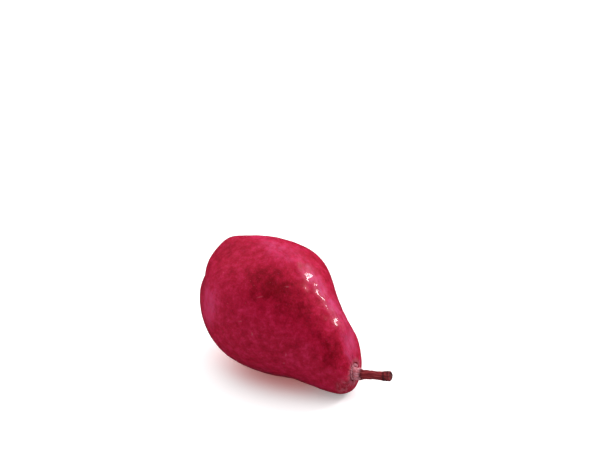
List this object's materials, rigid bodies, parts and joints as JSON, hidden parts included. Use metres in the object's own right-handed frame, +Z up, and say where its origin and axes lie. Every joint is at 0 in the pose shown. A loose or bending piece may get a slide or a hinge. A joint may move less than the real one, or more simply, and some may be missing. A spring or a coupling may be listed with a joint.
{
  "type": "pear",
  "caption": "Whole ripe red pear lying on its side on a small flat spot, with a woody knobbed stem at its neck and a dried calyx in its base.",
  "frame": {"origin": "centre of the small flat spot that the pear rests on, level with the surface", "axes": "+Z up; +X level, towards the stem end, along the pear's length as it lies; +Y level, to the left of a viewer who looks along +X"},
  "size_m": [0.108, 0.0642, 0.0646],
  "materials": {
    "skin": "smooth waxy fruit skin, deep crimson with a cloudy bloom, softly glossy",
    "stem_wood": "woody maroon-brown bark with lengthwise streaks, satin",
    "dried_calyx": "dry, matt, dark brown"
  },
  "bodies": {
    "root": {"fruit": "skin", "stem": "stem_wood", "calyx": "dried_calyx"}
  },
  "joints": []
}
